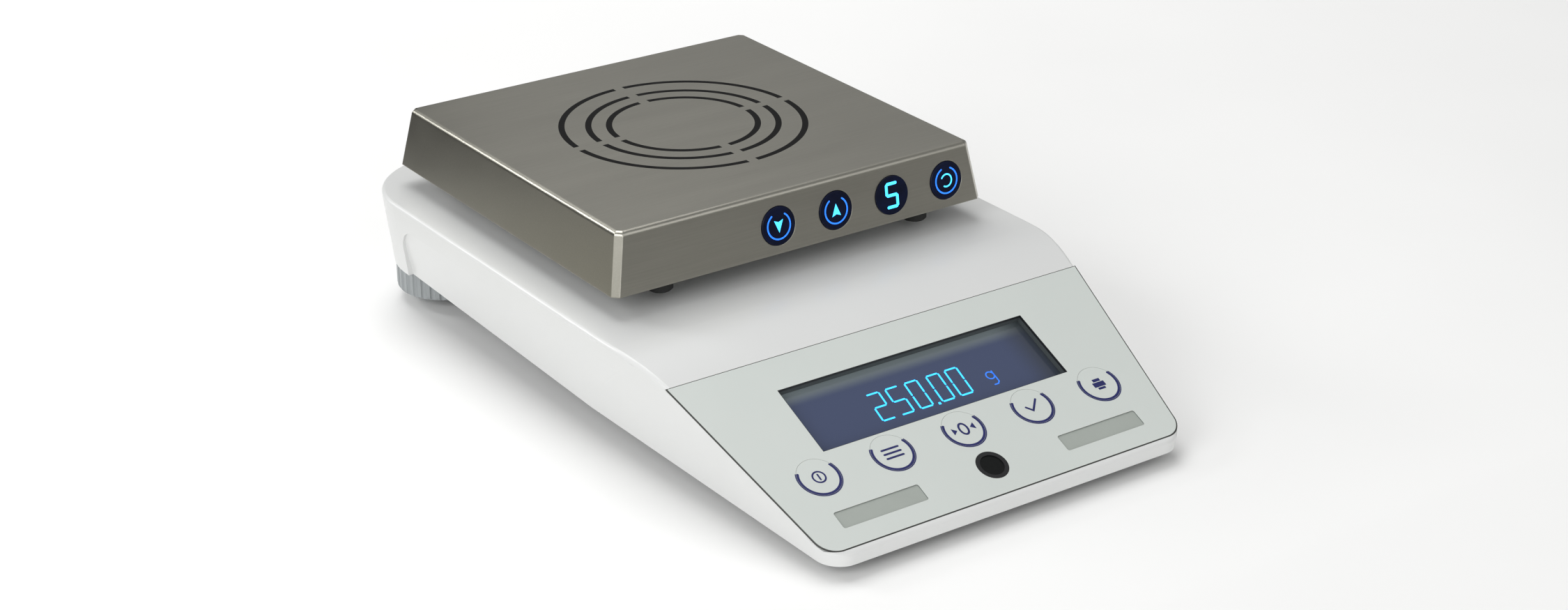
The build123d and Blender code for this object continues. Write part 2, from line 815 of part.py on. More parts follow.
# Weigh cell: base with a step for the lower guide and a tall post for the upper one
plate_top = cell_bottom + cell_plate
with BuildPart() as cell_base:
    with BuildSketch(Plane.YZ):
        with BuildLine():
            Polyline(
                (cell_front_y, cell_bottom), (step_rear_y, cell_bottom), (step_rear_y, step_top),
                (tall_rear_y, step_top), (tall_rear_y, upper_guide_bottom), (cell_front_y, upper_guide_bottom),
                close=True,
            )
        make_face()
    extrude(amount=guide_half_width, both=True)
    with Locations((0, (cell_front_y + cell_rear_y) / 2, cell_bottom)):
        Box(2 * cell_half_width, cell_rear_y - cell_front_y, cell_plate, align=upright)
    # Posts that hold the lever's bending strips
    for side in (-1, 1):
        with Locations((side * (post_inner_x + post_outer_x) / 2, pivot_y, plate_top)):
            Box(post_outer_x - post_inner_x, post_depth, post_height, align=upright)
    with BuildSketch(Plane.XY.offset(cell_bottom)):
        with Locations((0, pan_y)):
            Circle(hook_radius - 1)
        with Locations(cell_screw_spots):
            Circle(cell_shank + 0.2)
    extrude(amount=cell_plate, mode=Mode.SUBTRACT)
    with Locations([(x, front_screw_y, upper_guide_bottom) for x in guide_screw_x]):
        Cylinder(guide_shank + thread_play, 4 * guide_screw_reach, mode=Mode.SUBTRACT)
    with Locations([(x, lower_screw_y, step_top) for x in guide_screw_x]):
        Cylinder(guide_shank + thread_play, 4 * guide_screw_reach, mode=Mode.SUBTRACT)
save(cell_base.part, "cell_base")


def guide_plate(bottom, front_y, screw_y):
    # Parallel guide: a frame round a window, thinned to a neck near each end
    with BuildPart() as guide:
        with BuildSketch(Plane.XY.offset(bottom)):
            with Locations((0, (front_y + receiver_rear_y) / 2)):
                Rectangle(2 * guide_half_width, receiver_rear_y - front_y)
            with Locations((0, (window_front_y + window_rear_y) / 2)):
                RectangleRounded(2 * window_half_x, window_rear_y - window_front_y, 3, mode=Mode.SUBTRACT)
            with Locations((0, pan_y)):
                Circle(spindle_radius + 0.3, mode=Mode.SUBTRACT)
            with Locations([(x, screw_y) for x in guide_screw_x] + [(x, pan_y) for x in guide_screw_x]):
                Circle(guide_shank + thread_play, mode=Mode.SUBTRACT)
        extrude(amount=guide_thickness)
        for y in (neck_front_y, neck_rear_y):
            for z in (bottom, bottom + guide_thickness):
                with Locations((0, y, z)):
                    Cylinder(neck_radius, 2 * guide_half_width, rotation=(0, 90, 0), mode=Mode.SUBTRACT)
    return guide.part


save(guide_plate(step_top, tall_rear_y + 1, lower_screw_y), "lower_guide")
save(guide_plate(upper_guide_bottom, cell_front_y, front_screw_y), "upper_guide")

receiver_bottom = step_top + guide_thickness
with BuildPart() as load_receiver:
    with Locations((0, (receiver_front_y + receiver_rear_y) / 2, receiver_bottom)):
        Box(
            2 * guide_half_width, receiver_rear_y - receiver_front_y, upper_guide_bottom - receiver_bottom,
            align=upright,
        )
    with Locations((0, pan_y, upper_guide_bottom)):
        Cylinder(spindle_radius, spindle_top - upper_guide_bottom, align=upright)
    chamfer(load_receiver.faces().sort_by(Axis.Z)[-1].edges(), length=0.8)
    with Locations((0, pan_y, receiver_bottom)):
        Cylinder(hook_thread, 2 * hook_depth, mode=Mode.SUBTRACT)
    for x in guide_screw_x:
        with Locations((x, pan_y, receiver_bottom)):
            Cylinder(guide_shank + thread_play, upper_guide_bottom, mode=Mode.SUBTRACT)
save(load_receiver.part, "load_receiver")

guide_screw = cap_screw(guide_head, guide_head_height, guide_shank, guide_thickness + guide_screw_reach)
with BuildPart() as guide_screws:
    for x in guide_screw_x:
        add(Location((x, front_screw_y, upper_guide_bottom + guide_thickness)) * guide_screw)
        add(Location((x, lower_screw_y, step_top + guide_thickness)) * guide_screw)
        add(Location((x, pan_y, upper_guide_bottom + guide_thickness)) * guide_screw)
        add(Location((x, pan_y, step_top), (180, 0, 0)) * guide_screw)
save(guide_screws.part, "guide_screws")

cell_screw = cap_screw(cell_head, cell_head_height, cell_shank, cell_plate + cell_screw_reach)
with BuildPart() as cell_screws:
    for x, y in cell_screw_spots:
        add(Location((x, y, plate_top)) * cell_screw)
save(cell_screws.part, "cell_screws")

# Magnet pot with a ring gap, open at the top
with BuildPart() as magnet_pot:
    with Locations((0, coil_y, plate_top)):
        Cylinder(pot_radius, pot_height, align=upright)
    with Locations((0, coil_y, plate_top + pot_floor)):
        Cylinder(gap_outer, pot_height, align=upright, mode=Mode.SUBTRACT)
        Cylinder(gap_inner, pot_height - pot_floor, align=upright)
save(magnet_pot.part, "magnet_pot")

# Lever with its ears and the vane that the position sensor reads
with BuildPart() as weigh_lever:
    with BuildSketch(Plane.YZ):
        with BuildLine():
            Polyline(
                (lever_front_y, lever_bottom + lever_taper), (coil_y - coil_radius, lever_bottom),
                (lever_rear_y, lever_bottom), (lever_rear_y, lever_top), (coil_y - coil_radius, lever_top),
                (lever_front_y, lever_top - lever_taper),
                close=True,
            )
        make_face()
    extrude(amount=lever_half_width, both=True)
    with Locations((0, pivot_y - post_depth / 2 + strip_gap, pivot_z - ear_drop)):
        Box(2 * post_inner_x - 1, post_depth / 2, ear_height, align=(Align.CENTER, Align.MIN, Align.MIN))
    with Locations((0, (vane_front_y + lever_front_y) / 2, pivot_z)):
        Box(vane_width, lever_front_y - vane_front_y, vane_thickness)
save(weigh_lever.part, "weigh_lever")

with BuildPart() as force_coil:
    with Locations((0, coil_y, coil_bottom)):
        Cylinder(coil_radius, lever_bottom - coil_bottom, align=upright)
        Cylinder(coil_radius - coil_wall, coil_flange_bottom - coil_bottom, align=upright, mode=Mode.SUBTRACT)
save(force_coil.part, "force_coil")

with BuildPart() as lever_flexures:
    for side in (-1, 1):
        with Locations((side * (lever_half_width + strip_gap), pivot_y - post_depth / 2, pivot_z - ear_drop)):
            Box(
                post_outer_x - lever_half_width - strip_gap, strip_sheet, 2 * ear_drop,
                align=(Align.MIN if side > 0 else Align.MAX, Align.MAX, Align.MIN),
            )
save(lever_flexures.part, "lever_flexures")

with BuildPart() as coupling_band:
    with Locations((0, receiver_front_y, receiver_bottom + 1)):
        Box(2 * ear_drop, strip_sheet, lever_top - receiver_bottom, align=(Align.CENTER, Align.MAX, Align.MIN))
save(coupling_band.part, "coupling_band")

with BuildPart() as position_sensor:
    with Locations((0, (sensor_front_y + sensor_rear_y) / 2, plate_top)):
        Box(sensor_width, sensor_rear_y - sensor_front_y, post_height, align=upright)
    with Locations((0, sensor_rear_y, pivot_z)):
        Box(sensor_width, 2 * (sensor_rear_y - vane_front_y) + 4, sensor_slot, mode=Mode.SUBTRACT)
save(position_sensor.part, "position_sensor")

# Pan support: hub on the spindle, four arms with rubber buffers, spring against overload
with BuildPart() as pan_carrier:
    with Locations((0, pan_y, hub_bottom)):
        Cylinder(hub_radius, hub_top - hub_bottom, align=upright)
    with BuildSketch(Plane.XY.offset(arm_bottom)):
        with Locations((0, pan_y)):
            for angle in (45, 135):
                SlotCenterToCenter(2 * buffer_x * 2 ** 0.5, arm_width, rotation=angle)
        with Locations((0, pan_y)):
            with GridLocations(buffer_x, buffer_x, 2, 2):
                Circle(arm_hole, mode=Mode.SUBTRACT)
    extrude(amount=hub_top - arm_bottom)
    with Locations((0, pan_y, hub_top)):
        Cylinder(pilot_radius, pilot_top - hub_top, align=upright)
    with Locations((0, pan_y, hub_bottom)):
        Cylinder(spindle_radius + spindle_fit, bore_top - hub_bottom, align=upright, mode=Mode.SUBTRACT)
save(pan_carrier.part, "pan_carrier")

plate_bottom = pan_top - pan_height + plate_recess
with BuildPart() as carrier_buffers:
    with BuildSketch(Plane.XY.offset(hub_top)):
        with Locations((0, pan_y)):
            with GridLocations(2 * buffer_x, 2 * buffer_x, 2, 2):
                Circle(buffer_radius)
    extrude(amount=plate_bottom - hub_top)
save(carrier_buffers.part, "carrier_buffers")

spring_bottom = upper_guide_bottom + guide_thickness
with BuildPart() as overload_spring:
    with BuildSketch(Plane.XZ.offset(-pan_y)):
        with BuildLine():
            pitch = (hub_bottom - spring_bottom) / spring_discs
            rim = []
            for index in range(spring_discs):
                rim.append((spring_radius - spring_cone, spring_bottom + index * pitch))
                rim.append((spring_radius, spring_bottom + (index + 0.5) * pitch))
            Polyline(
                (spindle_radius + strip_gap, spring_bottom), *rim, (spring_radius - spring_cone, hub_bottom),
                (spindle_radius + strip_gap, hub_bottom), close=True,
            )
        make_face()
    revolve(axis=Axis((0, pan_y, 0), (0, 0, 1)))
save(overload_spring.part, "overload_spring")


# Stirring pan
def pan_form(inset, top, bottom):
    # Outer form of the hood, or its inside when it is drawn smaller by the sheet
    with BuildPart() as form:
        for height in (bottom, top):
            drop = (pan_top - height) / pan_height
            with BuildSketch(Plane.XY.offset(height)) as outline:
                with Locations((0, pan_y)):
                    Rectangle(
                        2 * (pan_half_x + pan_flare_x * drop - inset),
                        2 * (pan_half_y + pan_flare_y * drop - inset),
                    )
                chamfer(outline.vertices(), length=pan_bevel)
        loft(ruled=True)
        fillet(form.faces().sort_by(Axis.Z)[-1].edges(), radius=pan_bend - inset)
    return form.part


skirt_angle = atan(pan_flare_y / pan_height)
skirt_plane = Plane(
    origin=(0, pan_y - pan_half_y, pan_top),
    x_dir=(1, 0, 0),
    z_dir=(0, -cos(skirt_angle), sin(skirt_angle)),
)
control_x = [button_first_x + index * button_pitch for index in range(4)]
board_stud_x = [(control_x[0] + control_x[1]) / 2, (control_x[2] + control_x[3]) / 2]
plate_upper = plate_bottom + plate_thickness

with BuildPart() as pan_hood:
    add(pan_form(0, pan_top, pan_top - pan_height))
    add(pan_form(pan_sheet, pan_top - pan_sheet, pan_top - pan_height - 1), mode=Mode.SUBTRACT)
    with BuildSketch(skirt_plane):
        with Locations([(x, -button_down) for x in control_x]):
            Circle(button_radius + button_gap)
    extrude(amount=-2 * pan_sheet, mode=Mode.SUBTRACT)
    # Welded studs for the bottom plate and for the control board
    with BuildSketch(Plane.XY.offset(pan_top - pan_sheet / 2)):
        with Locations((0, pan_y)):
            with GridLocations(2 * stud_x, 2 * stud_y, 2, 2):
                Circle(stud_radius)
    extrude(amount=plate_upper - pan_top + pan_sheet / 2)
    with BuildSketch(skirt_plane.offset(-pan_sheet / 2)):
        with Locations([(x, -button_down) for x in board_stud_x]):
            Circle(stud_radius / 2)
    extrude(amount=pan_sheet / 2 - stir_board_depth)
    with BuildSketch(Plane.XY.offset(plate_upper)):
        with Locations((0, pan_y)):
            with GridLocations(2 * stud_x, 2 * stud_y, 2, 2):
                Circle(pan_shank + thread_play)
    extrude(amount=pan_screw_reach + 2, mode=Mode.SUBTRACT)
save(pan_hood.part, "pan_hood")

with BuildPart() as pan_bottom:
    drop = (pan_top - plate_upper) / pan_height
    with BuildSketch(Plane.XY.offset(plate_bottom)) as outline:
        with Locations((0, pan_y)):
            Rectangle(
                2 * (pan_half_x + pan_flare_x * drop - pan_sheet - plate_gap),
                2 * (pan_half_y + pan_flare_y * drop - pan_sheet - plate_gap),
            )
        chamfer(outline.vertices(), length=pan_bevel)
        with Locations((0, pan_y)):
            Circle(pilot_radius + pilot_gap, mode=Mode.SUBTRACT)
            with GridLocations(2 * stud_x, 2 * stud_y, 2, 2):
                Circle(pan_shank + thread_play, mode=Mode.SUBTRACT)
    extrude(amount=plate_thickness)
save(pan_bottom.part, "pan_bottom")

with BuildPart() as pan_feet:
    with BuildSketch(Plane.XY.offset(foot_bottom)):
        with Locations((0, pan_y)):
            with GridLocations(2 * foot_x, 2 * foot_y, 2, 2):
                Circle(foot_radius)
    extrude(amount=plate_bottom - foot_bottom)
    chamfer(pan_feet.faces().sort_by(Axis.Z)[0:4].edges(), length=0.8)
save(pan_feet.part, "pan_feet")

pan_screw = cap_screw(pan_head, pan_head_height, pan_shank, plate_thickness + pan_screw_reach)
with BuildPart() as pan_screws:
    for x in (-stud_x, stud_x):
        for y in (pan_y - stud_y, pan_y + stud_y):
            add(Location((x, y, plate_bottom), (180, 0, 0)) * pan_screw)
save(pan_screws.part, "pan_screws")

with BuildPart() as stir_motor:
    with Locations((0, pan_y, plate_upper)):
        Cylinder(motor_radius, motor_height, align=upright)
        chamfer(stir_motor.faces().sort_by(Axis.Z)[-1].edges(), length=1.0)
    with Locations((0, pan_y, shaft_bottom - 0.5)):
        Cylinder(shaft_radius + stem_fit, motor_height, align=upright, mode=Mode.SUBTRACT)
save(stir_motor.part, "stir_motor")

with BuildPart() as stir_yoke:
    with Locations((0, pan_y, yoke_bottom)):
        Cylinder(yoke_radius, yoke_thickness, align=upright)
        Cylinder(yoke_hub_radius, yoke_hub_height, align=hanging)
    with Locations((0, pan_y, shaft_bottom)):
        Cylinder(shaft_radius, yoke_bottom - shaft_bottom, align=upright)
save(stir_yoke.part, "stir_yoke")

with BuildPart() as stir_magnets:
    with BuildSketch(Plane.XY.offset(yoke_bottom + yoke_thickness)):
        with Locations((magnet_x, pan_y), (-magnet_x, pan_y)):
            Circle(magnet_radius)
    extrude(amount=magnet_height)
save(stir_magnets.part, "stir_magnets")

with BuildPart() as battery_pack:
    with Locations((battery_gap + battery_width / 2 - pan_half_x, pan_y + battery_length / 2, plate_upper)):
        Box(battery_width, battery_length, battery_height, align=upright)
    fillet(battery_pack.edges().filter_by(Axis.Y).group_by(Axis.Z)[-1], radius=battery_height / 3)
save(battery_pack.part, "battery_pack")

with BuildPart() as stir_board:
    with BuildSketch(skirt_plane.offset(-stir_board_depth)):
        with Locations(((control_x[1] + control_x[2]) / 2, -button_down)):
            Rectangle(stir_board_width, stir_board_height)
    extrude(amount=-board_thickness)
    with BuildSketch(skirt_plane.offset(-stir_board_depth)):
        with Locations([(control_x[index], -button_down) for index in (0, 1, 3)]):
            Rectangle(switch_width, switch_width)
    extrude(amount=switch_height)
    with BuildSketch(skirt_plane.offset(-stir_board_depth)):
        with Locations((control_x[2], -button_down)):
            Rectangle(digit_block_width, digit_block_height)
    extrude(amount=stir_board_depth - window_depth)
save(stir_board.part, "stir_board")

with BuildPart() as speed_window:
    with BuildSketch(skirt_plane.offset(-window_depth)):
        with Locations((control_x[2], -button_down)):
            Circle(button_radius + button_gap - 0.05)
    extrude(amount=window_depth + button_proud)
    with BuildSketch(skirt_plane.offset(-pan_sheet)):
        with Locations((control_x[2], -button_down)):
            Circle(button_radius + button_flange)
    extrude(amount=pan_sheet - window_depth)
save(speed_window.part, "speed_window")

stem_end = stir_board_depth - switch_height - button_travel - 0.2
for name, x in (("button_down", control_x[0]), ("button_up", control_x[1]), ("button_power", control_x[3])):
    with BuildPart() as button:
        with BuildSketch(skirt_plane.offset(button_proud)):
            with Locations((x, -button_down)):
                Circle(button_radius)
        extrude(amount=-button_proud - pan_sheet - button_back / 2)
        fillet(button.faces().sort_by(Axis.Y)[0].edges(), radius=0.35)
        with BuildSketch(skirt_plane.offset(-pan_sheet - key_gap)):
            with Locations((x, -button_down)):
                Circle(button_radius + button_flange)
        extrude(amount=-button_back)
        with BuildSketch(skirt_plane.offset(-pan_sheet - button_back / 2)):
            with Locations((x, -button_down)):
                Circle(button_stem_radius)
        extrude(amount=pan_sheet + button_back / 2 - stem_end)
    save(button.part, name)

# Rear connectors, their flanges follow the sloping wall
with BuildPart() as jack_flange:
    with BuildSketch(Plane.XZ.offset(-flange_front_y)):
        with Locations((jack_x, connector_z)):
            Circle(jack_radius + flange_rim)
    extrude(amount=-half_length / 8)
    add(housing_form(wall), mode=Mode.INTERSECT)
with BuildPart() as power_jack:
    add(jack_flange.part)
    with BuildSketch(Plane.XZ.offset(-connector_rear_y)):
        with Locations((jack_x, connector_z)):
            Circle(jack_radius)
    extrude(amount=jack_length)
    with BuildSketch(Plane.XZ.offset(-connector_rear_y)):
        with Locations((jack_x, connector_z)):
            Circle(jack_mouth)
            Circle(jack_pin, mode=Mode.SUBTRACT)
    extrude(amount=jack_depth, mode=Mode.SUBTRACT)
save(power_jack.part, "power_jack")

with BuildPart() as socket_flange:
    with BuildSketch(Plane.XZ.offset(-flange_front_y)):
        with Locations((socket_x, connector_z)):
            RectangleRounded(socket_width + 2 * flange_rim, socket_height + 2 * flange_rim, socket_corner)
    extrude(amount=-half_length / 8)
    add(housing_form(wall), mode=Mode.INTERSECT)
with BuildPart() as data_socket:
    add(socket_flange.part)
    with BuildSketch(Plane.XZ.offset(-connector_rear_y)):
        with Locations((socket_x, connector_z)):
            RectangleRounded(socket_width, socket_height, socket_corner)
    extrude(amount=socket_length)
    with BuildSketch(Plane.XZ.offset(-connector_rear_y)):
        with BuildLine():
            FilletPolyline(
                (socket_x - socket_mouth / 2, connector_z + socket_mouth_height / 2),
                (socket_x + socket_mouth / 2, connector_z + socket_mouth_height / 2),
                (socket_x + 0.42 * socket_mouth, connector_z - socket_mouth_height / 2),
                (socket_x - 0.42 * socket_mouth, connector_z - socket_mouth_height / 2),
                radius=socket_corner, close=True,
            )
        make_face()
    extrude(amount=socket_depth, mode=Mode.SUBTRACT)
save(data_socket.part, "data_socket")
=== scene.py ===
import bpy
import bmesh
from math import atan, cos, pi, radians, sin, tan
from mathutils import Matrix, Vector


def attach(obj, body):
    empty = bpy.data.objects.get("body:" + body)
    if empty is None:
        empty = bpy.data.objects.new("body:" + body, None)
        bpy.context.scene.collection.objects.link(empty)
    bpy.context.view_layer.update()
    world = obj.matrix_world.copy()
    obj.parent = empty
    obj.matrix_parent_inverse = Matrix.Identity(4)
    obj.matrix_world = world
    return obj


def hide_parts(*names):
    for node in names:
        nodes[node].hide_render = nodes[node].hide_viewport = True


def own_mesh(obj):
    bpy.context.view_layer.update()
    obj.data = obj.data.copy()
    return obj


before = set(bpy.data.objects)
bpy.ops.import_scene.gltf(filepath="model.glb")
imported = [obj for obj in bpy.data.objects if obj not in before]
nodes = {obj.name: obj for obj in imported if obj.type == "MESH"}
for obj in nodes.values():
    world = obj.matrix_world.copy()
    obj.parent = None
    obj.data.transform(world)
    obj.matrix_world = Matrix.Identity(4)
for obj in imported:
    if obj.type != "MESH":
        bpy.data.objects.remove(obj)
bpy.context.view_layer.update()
print("frame loaded:", len(nodes), "nodes")


# Shader building

class Value:
    # One socket that can stand in a sum; every operator adds its own node
    def __init__(self, look, socket):
        self.look = look
        self.socket = socket

    def math(self, operation, *others):
        values = dict(enumerate(others))
        return self.look.add("ShaderNodeMath", {"operation": operation}, values)

    def __add__(self, other):
        return self.math("ADD", self, other)

    def __radd__(self, other):
        return self.math("ADD", other, self)

    def __sub__(self, other):
        return self.math("SUBTRACT", self, other)

    def __rsub__(self, other):
        return self.math("SUBTRACT", other, self)

    def __mul__(self, other):
        return self.math("MULTIPLY", self, other)

    def __rmul__(self, other):
        return self.math("MULTIPLY", other, self)

    def __pow__(self, other):
        return self.math("POWER", self, other)

    def size(self):
        return self.math("ABSOLUTE", self)

    def least(self, other):
        return self.math("MINIMUM", self, other)

    def most(self, other):
        return self.math("MAXIMUM", self, other)

    def above(self, edge, soft):
        # 0 below the edge and 1 above it, with a soft step
        settings = {"interpolation_type": "SMOOTHSTEP"}
        values = {"Value": self, "From Min": edge - soft / 2, "From Max": edge + soft / 2}
        return self.look.add("ShaderNodeMapRange", settings, values)

    def below(self, edge, soft):
        return 1.0 - self.above(edge, soft)


class Look:
    # A material with its shader, and one method that adds any other node
    def __init__(self, name, **constants):
        self.material = bpy.data.materials.new(name)
        self.material.use_nodes = True
        self.tree = self.material.node_tree
        self.shader = self.tree.nodes["Principled BSDF"]
        for label, value in constants.items():
            self.shader.inputs[label.replace("_", " ")].default_value = value
        self.place = self.add("ShaderNodeTexCoord", output="Object")

    def add(self, kind, settings=None, values=None, output=0):
        node = self.tree.nodes.new(kind)
        for label, value in (settings or {}).items():
            setattr(node, label, value)
        for label, value in (values or {}).items():
            if isinstance(value, Value):
                self.tree.links.new(value.socket, node.inputs[label])
            else:
                node.inputs[label].default_value = value
        return Value(self, node.outputs[output])

    def feed(self, label, value):
        self.tree.links.new(value.socket, self.shader.inputs[label])

    def along(self, direction, origin=(0, 0, 0)):
        # Distance from the origin along a direction, in metres
        shifted = self.add("ShaderNodeVectorMath", {"operation": "SUBTRACT"}, {0: self.place, 1: origin})
        return self.add(
            "ShaderNodeVectorMath", {"operation": "DOT_PRODUCT"}, {0: shifted, 1: direction}, output="Value"
        )

    def noise(self, scale, stretch=(1, 1, 1), detail=3.0, roughness=0.5):
        spread = self.add("ShaderNodeVectorMath", {"operation": "MULTIPLY"}, {0: self.place, 1: stretch})
        values = {"Vector": spread, "Scale": scale, "Detail": detail, "Roughness": roughness}
        return self.add("ShaderNodeTexNoise", None, values)

    def mix(self, share, first, second):
        values = {0: share, 6: first, 7: second}
        return self.add("ShaderNodeMix", {"data_type": "RGBA"}, values, output=2)

    def spread(self, value, low, high):
        return self.add("ShaderNodeMapRange", None, {"Value": value, "To Min": low, "To Max": high})

    def bump(self, height, strength, distance, normal=None):
        values = {"Height": height, "Strength": strength, "Distance": distance}
        if normal is not None:
            values["Normal"] = normal
        self.feed("Normal", self.add("ShaderNodeBump", None, values))


def shade(hexCode):
    # Linear colour of a screen colour
    parts = [int(hexCode[index:index + 2], 16) / 255 for index in (0, 2, 4)]
    linear = [part / 12.92 if part <= 0.04045 else ((part + 0.055) / 1.055) ** 2.4 for part in parts]
    return (*linear, 1.0)


def addPiece(name, mesh, look):
    data = bpy.data.meshes.new(name)
    mesh.to_mesh(data)
    mesh.free()
    data.materials.append(look.material)
    piece = bpy.data.objects.new(name, data)
    bpy.context.scene.collection.objects.link(piece)
    return piece


def dress(look, *names):
    for name in names:
        slots = nodes[name].material_slots
        for slot in slots:
            slot.material = look.material
        if not slots:
            nodes[name].data.materials.append(look.material)


# Planes of the control panel and of the pan's front skirt, from the CAD dimensions in metres

class Face:
    # A flat face: place(u, v, out) runs right, up the face and outwards
    def __init__(self, origin, up, outward):
        self.origin = Vector(origin)
        self.right = Vector((1, 0, 0))
        self.up = Vector(up)
        self.outward = Vector(outward)

    def place(self, u, v, out=0.0):
        return self.origin + self.right * u + self.up * v + self.outward * out


panelPlan = {"slope": radians(23.75), "topEdge": (0, -0.085398, 0.050724)}
panel = Face(panelPlan["topEdge"], (0, cos(panelPlan["slope"]), sin(panelPlan["slope"])),
             (0, -sin(panelPlan["slope"]), cos(panelPlan["slope"])))
skirtPlan = {"lean": atan(4.0 / 26.8), "topEdge": (0, -0.028, 0.094)}
skirt = Face(skirtPlan["topEdge"], (0, sin(skirtPlan["lean"]), cos(skirtPlan["lean"])),
             (0, -cos(skirtPlan["lean"]), sin(skirtPlan["lean"])))
panCentre = Vector((0, 0.0613, 0.094))


# Flat marks: outlines laid on a face as thin raised pieces

class Marks:
    def __init__(self, name, face, base, thickness):
        self.name = name
        self.face = face
        self.base = base
        self.thickness = thickness
        self.shapes = []

    def outline(self, points):
        self.shapes.append([list(points)])

    def stroke(self, points, width, roundEnds=True):
        # A band of even width along a line, with mitred corners and round ends
        path = [Vector(point) for point in points]
        left, right = [], []
        for index, point in enumerate(path):
            before = (point - path[index - 1]).normalized() if index > 0 else None
            after = (path[index + 1] - point).normalized() if index < len(path) - 1 else None
            heading = ((before or after) + (after or before)).normalized()
            side = Vector((-heading.y, heading.x))
            reference = before or after
            spread = width / 2 / max(0.4, side.dot(Vector((-reference.y, reference.x))))
            left.append(point + side * spread)
            right.append(point - side * spread)
        strips = [[left[k], left[k + 1], right[k + 1], right[k]] for k in range(len(path) - 1)]
        if roundEnds:
            strips.append(self.endCap(left[-1], right[-1]))
            strips.append(self.endCap(right[0], left[0]))
        self.shapes.append(strips)

    def endCap(self, first, last, steps=6):
        middle = (first + last) / 2
        arm = first - middle
        turned = [Vector((arm.x * cos(-pi * k / steps) - arm.y * sin(-pi * k / steps),
                          arm.x * sin(-pi * k / steps) + arm.y * cos(-pi * k / steps)))
                  for k in range(steps + 1)]
        return [middle + point for point in turned]

    def arc(self, centre, radius, width, start, end, steps=40, roundEnds=True):
        points = []
        for k in range(steps + 1):
            angle = radians(start + (end - start) * k / steps)
            points.append((centre[0] + radius * cos(angle), centre[1] + radius * sin(angle)))
        self.stroke(points, width, roundEnds)

    def build(self, look, body):
        mesh = bmesh.new()
        for strips in self.shapes:
            known = {}
            faces = []
            for strip in strips:
                corners = []
                for point in strip:
                    key = (round(point[0], 7), round(point[1], 7))
                    if key not in known:
                        known[key] = mesh.verts.new(self.face.place(point[0], point[1], self.base))
                    if known[key] not in corners:
                        corners.append(known[key])
                if len(corners) > 2:
                    faces.append(mesh.faces.new(corners))
            grown = bmesh.ops.extrude_face_region(mesh, geom=faces)
            raised = [item for item in grown["geom"] if isinstance(item, bmesh.types.BMVert)]
            bmesh.ops.translate(mesh, verts=raised, vec=self.face.outward * self.thickness)
        bmesh.ops.recalc_face_normals(mesh, faces=mesh.faces)
        piece = addPiece(self.name, mesh, look)
        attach(piece, body)


# Housing

housingLook = {"white": shade("dadbda"), "shadow": shade("d3d4d3"), "roughness": 0.34, "grain": 2600}


def satinMoulding():
    look = Look("satinMoulding", Coat_Weight=0.15, Coat_Roughness=0.15)
    cloud = look.noise(9, detail=2)
    look.feed("Base Color", look.mix(cloud, housingLook["white"], housingLook["shadow"]))
    grain = look.noise(housingLook["grain"], detail=2)
    satin = housingLook["roughness"]
    look.feed("Roughness", look.spread(cloud, satin - 0.03, satin + 0.06))
    look.bump(grain, 0.12, 0.00006)
    return look


dress(satinMoulding(), "upper_housing")

trayLook = {"grey": shade("6f7374"), "dark": shade("5f6364"), "roughness": 0.55}


def mattMoulding(name, settings):
    look = Look(name)
    cloud = look.noise(14, detail=3)
    look.feed("Base Color", look.mix(cloud, settings["grey"], settings["dark"]))
    look.feed("Roughness", look.spread(cloud, settings["roughness"] - 0.08, settings["roughness"] + 0.08))
    look.bump(look.noise(1500, detail=3), 0.3, 0.0001)
    return look


trayMoulding = mattMoulding("trayMoulding", trayLook)
dress(trayMoulding, "base_tray", "hook_cover")

wheelLook = {"grey": shade("a3a7a8"), "dark": shade("93989a"), "roughness": 0.45}
dress(mattMoulding("wheelMoulding", wheelLook), "foot_wheel_left", "foot_wheel_right")

rubberLook = {"grey": shade("242524"), "dark": shade("191a19"), "roughness": 0.75}
rubber = mattMoulding("darkRubber", rubberLook)
dress(rubber, "front_feet", "foot_pad_left", "foot_pad_right", "pan_feet", "carrier_buffers")

blackLook = {"grey": shade("17181a"), "dark": shade("101113"), "roughness": 0.4}
blackMoulding = mattMoulding("blackMoulding", blackLook)
dress(blackMoulding, "level_cup", "power_jack", "data_socket", "position_sensor")
bezelLook = {"grey": shade("4b5254"), "dark": shade("43494b"), "roughness": 0.5}
dress(mattMoulding("bezelMoulding", bezelLook), "display_bezel")
print("housing dressed")


# Control panel

# The black and grey edge tones are painted shade for the foil's cut edges
panelLook = {
    "foil": shade("cdd2ce"), "foilShade": shade("c7cdc9"), "edge": shade("1c1e20"), "paintedEdgeShade": shade("7d827f"),
    "roughness": 0.38, "strip": shade("a4aaa4"), "stripShade": shade("9aa09a"),
}
display = {"halfWidth": 0.0627, "top": 0.0168, "bottom": 0.0512, "depth": 0.0035, "thickness": 0.00005}


